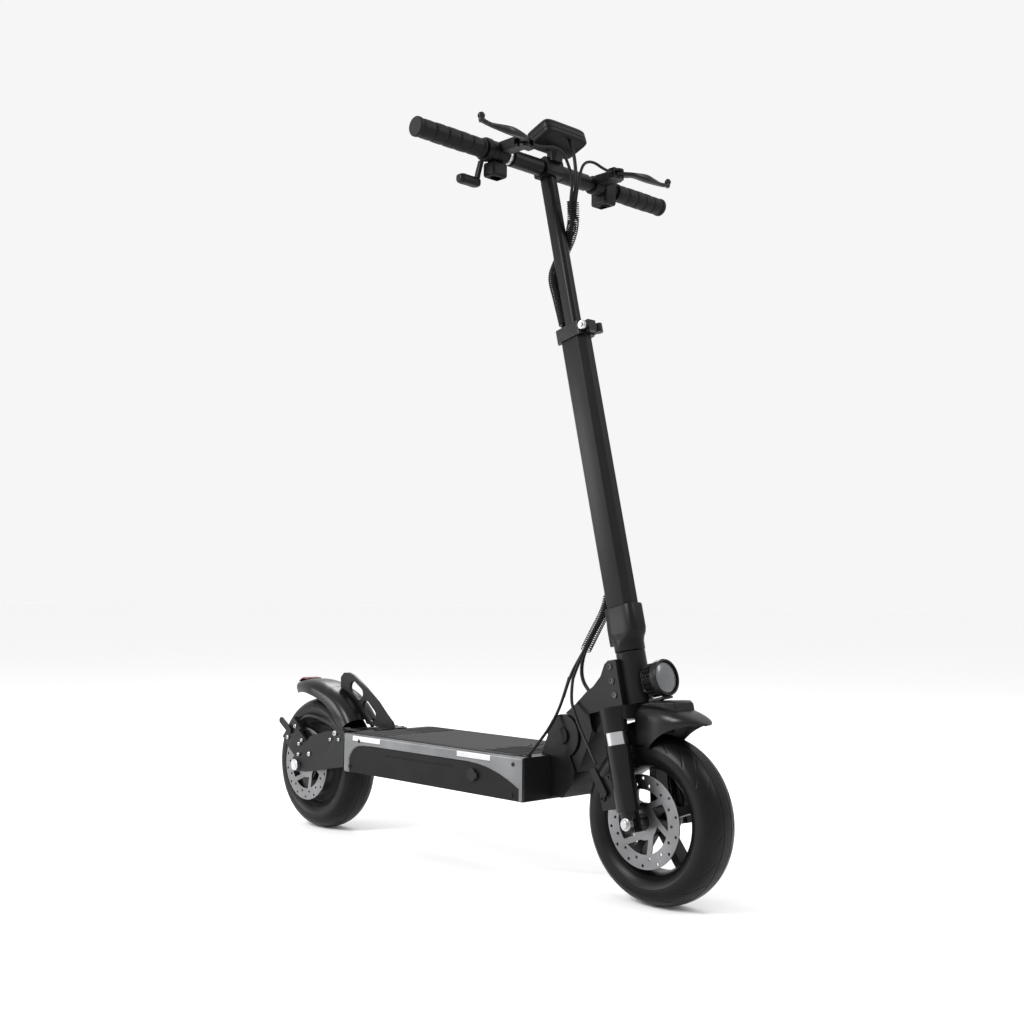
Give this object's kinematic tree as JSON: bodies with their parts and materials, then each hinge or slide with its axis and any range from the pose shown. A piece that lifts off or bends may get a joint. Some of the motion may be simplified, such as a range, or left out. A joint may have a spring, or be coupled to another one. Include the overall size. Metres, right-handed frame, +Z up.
{
  "type": "electric kick scooter",
  "caption": "Folding electric kick scooter with telescoping stem, sprung fork and swing arm, disc brakes, hub motor and lights.",
  "frame": {"origin": "on the floor midway between the two axles, in the centre plane, which is also the bottom centre of the outer box", "axes": "+X forward, +Y to the rider's left, +Z up"},
  "size_m": [1.118, 0.5872, 1.2573],
  "materials": {
    "deck_paint": "satin black",
    "rail_metal": "satin dark grey",
    "black_metal": "satin black",
    "frame_paint": "satin black",
    "mat_rubber": "ribbed",
    "tyre": "treaded",
    "grip_rubber": "ribbed",
    "plastic": "fine texture",
    "gloss": "gloss",
    "bright_steel": "brushed",
    "chrome": "polished",
    "cast_alu": "cast black",
    "lever_alu": "anodised dark grey",
    "lens": "clear",
    "tail_red": "gloss red",
    "cable_black": "smooth",
    "cell_pack": "wrapped"
  },
  "bodies": {
    "deck": {"deck_tray": "black_metal", "deck_top": "deck_paint", "deck_mat": "mat_rubber", "deck_rail_left": "rail_metal", "deck_rail_right": "rail_metal", "battery": "cell_pack", "controller": "black_metal", "deck_lug": "frame_paint", "fold_pin": "bright_steel", "kick_fin": "deck_paint", "swing_bracket": "black_metal", "rear_fender": "plastic", "tail_light": "tail_red"},
    "charge_cap": {"charge_cap": "grip_rubber"},
    "kickstand": {"kickstand": "black_metal"},
    "fold_lever": {"fold_lever": "black_metal"},
    "swing_arm": {"swing_arm": "black_metal", "rear_axle": "bright_steel", "rear_caliper": "cast_alu"},
    "rear_caliper_arm": {"rear_caliper_arm": "bright_steel"},
    "rear_wheel": {"rear_tyre": "tyre", "rear_hub": "cast_alu", "rear_rotor": "bright_steel"},
    "neck": {"neck_frame": "frame_paint", "head_tube": "frame_paint", "headlight": "plastic", "headlight_lens": "lens"},
    "steering": {"fork_crown": "black_metal", "stanchions": "chrome", "stem_sleeve": "frame_paint", "stem_lower": "frame_paint", "clamp_collar": "black_metal", "front_fender": "plastic", "front_brake_cable": "cable_black", "rear_brake_cable": "cable_black", "wiring_loom": "cable_black"},
    "clamp_lever": {"clamp_lever": "lever_alu"},
    "fork_lower": {"fork_leg_left": "black_metal", "fork_leg_right": "black_metal", "front_axle": "bright_steel", "front_caliper": "cast_alu"},
    "front_caliper_arm": {"front_caliper_arm": "bright_steel"},
    "front_wheel": {"front_tyre": "tyre", "front_rim": "cast_alu", "front_rotor": "bright_steel"},
    "cockpit": {"stem_upper": "black_metal", "handlebar": "black_metal", "grip_left": "grip_rubber", "grip_right": "grip_rubber", "lever_perch_left": "plastic", "lever_perch_right": "plastic", "throttle_body": "plastic", "switch_pod": "plastic", "display_case": "gloss"},
    "brake_lever_left": {"brake_lever_left": "lever_alu"},
    "brake_lever_right": {"brake_lever_right": "lever_alu"},
    "throttle_paddle": {"throttle_paddle": "plastic"},
    "horn_button": {"horn_button": "gloss"},
    "light_switch": {"light_switch": "gloss"},
    "power_button": {"power_button": "gloss"}
  },
  "joints": [
    {"name": "fold", "type": "hinge", "parent": "deck", "child": "neck", "pos_m": [0.262, 0, 0.24], "axis": [0, 1, 0], "range_deg": [-77, 0], "deforming": ["rear_brake_cable", "wiring_loom"]},
    {"name": "fold_clamp", "type": "hinge", "parent": "deck", "child": "fold_lever", "pos_m": [0.262, 0.0514, 0.24], "axis": [1, 0, 0], "range_deg": [0, 100]},
    {"name": "charge_cover", "type": "hinge", "parent": "deck", "child": "charge_cap", "pos_m": [0.1315, -0.1031, 0.169], "axis": [0, 0, 1], "range_deg": [0, 120]},
    {"name": "stand", "type": "hinge", "parent": "deck", "child": "kickstand", "pos_m": [0.214, 0.092, 0.13], "axis": [0, 1, 0], "range_deg": [0, 112]},
    {"name": "rear_suspension", "type": "hinge", "parent": "deck", "child": "swing_arm", "pos_m": [-0.3, 0, 0.198], "axis": [0, 1, 0], "range_deg": [0, 7], "stiffness_Nm_per_rad": 260, "springref_deg": -7.45, "deforming": ["rear_brake_cable"]},
    {"name": "rear_wheel_spin", "type": "hinge", "parent": "swing_arm", "child": "rear_wheel", "pos_m": [-0.4315, 0, 0.1275], "axis": [0, 1, 0], "continuous": true},
    {"name": "rear_brake", "type": "hinge", "parent": "swing_arm", "child": "rear_caliper_arm", "pos_m": [-0.47, -0.0647, 0.19], "axis": [0, 1, 0], "range_deg": [0, 22]},
    {"name": "steer", "type": "hinge", "parent": "neck", "child": "steering", "pos_m": [0.4315, 0, 0.1275], "axis": [-0.2317, 0, 0.9728], "range_deg": [-40, 40], "deforming": ["front_brake_cable", "rear_brake_cable", "wiring_loom"]},
    {"name": "fork_travel", "type": "slide", "parent": "steering", "child": "fork_lower", "axis": [-0.2317, 0, 0.9728], "range_m": [0, 0.018], "stiffness_N_per_m": 9000, "springref_m": -0.03, "deforming": ["front_brake_cable"]},
    {"name": "front_wheel_spin", "type": "hinge", "parent": "fork_lower", "child": "front_wheel", "pos_m": [0.4315, 0, 0.1275], "axis": [0, 1, 0], "continuous": true},
    {"name": "front_brake", "type": "hinge", "parent": "fork_lower", "child": "front_caliper_arm", "pos_m": [0.37517, -0.062, 0.16548], "axis": [0, 1, 0], "range_deg": [0, 22]},
    {"name": "telescope", "type": "slide", "parent": "steering", "child": "cockpit", "axis": [-0.2317, 0, 0.9728], "range_m": [-0.2, 0], "deforming": ["front_brake_cable", "rear_brake_cable", "wiring_loom"]},
    {"name": "stem_clamp", "type": "hinge", "parent": "steering", "child": "clamp_lever", "pos_m": [0.28161, 0.0215, 0.90339], "axis": [-0.2317, 0, 0.9728], "range_deg": [-150, 0]},
    {"name": "left_lever", "type": "hinge", "parent": "cockpit", "child": "brake_lever_left", "pos_m": [0.24093, 0.113, 1.19297], "axis": [0, 0, 1], "range_deg": [0, 22], "stiffness_Nm_per_rad": 1.2, "springref_deg": -20.05},
    {"name": "right_lever", "type": "hinge", "parent": "cockpit", "child": "brake_lever_right", "pos_m": [0.24093, -0.113, 1.19297], "axis": [0, 0, 1], "range_deg": [-22, 0], "stiffness_Nm_per_rad": 1.2, "springref_deg": 20.05},
    {"name": "throttle", "type": "hinge", "parent": "cockpit", "child": "throttle_paddle", "pos_m": [0.18393, -0.145, 1.18697], "axis": [0, 1, 0], "range_deg": [-40, 0], "stiffness_Nm_per_rad": 0.25, "springref_deg": 28.65},
    {"name": "horn", "type": "slide", "parent": "cockpit", "child": "horn_button", "axis": [1, 0, 0], "range_m": [0, 0.0018], "stiffness_N_per_m": 600, "springref_m": -0.001},
    {"name": "lights", "type": "slide", "parent": "cockpit", "child": "light_switch", "axis": [1, 0, 0], "range_m": [0, 0.0018], "stiffness_N_per_m": 600, "springref_m": -0.001},
    {"name": "power", "type": "slide", "parent": "cockpit", "child": "power_button", "axis": [0.342, 0, -0.9397], "range_m": [0, 0.0012], "stiffness_N_per_m": 600, "springref_m": -0.001}
  ],
  "couplings": [
    {"joint": "front_brake", "follows": "left_lever", "ratio": 1},
    {"joint": "rear_brake", "follows": "right_lever", "ratio": -1}
  ]
}
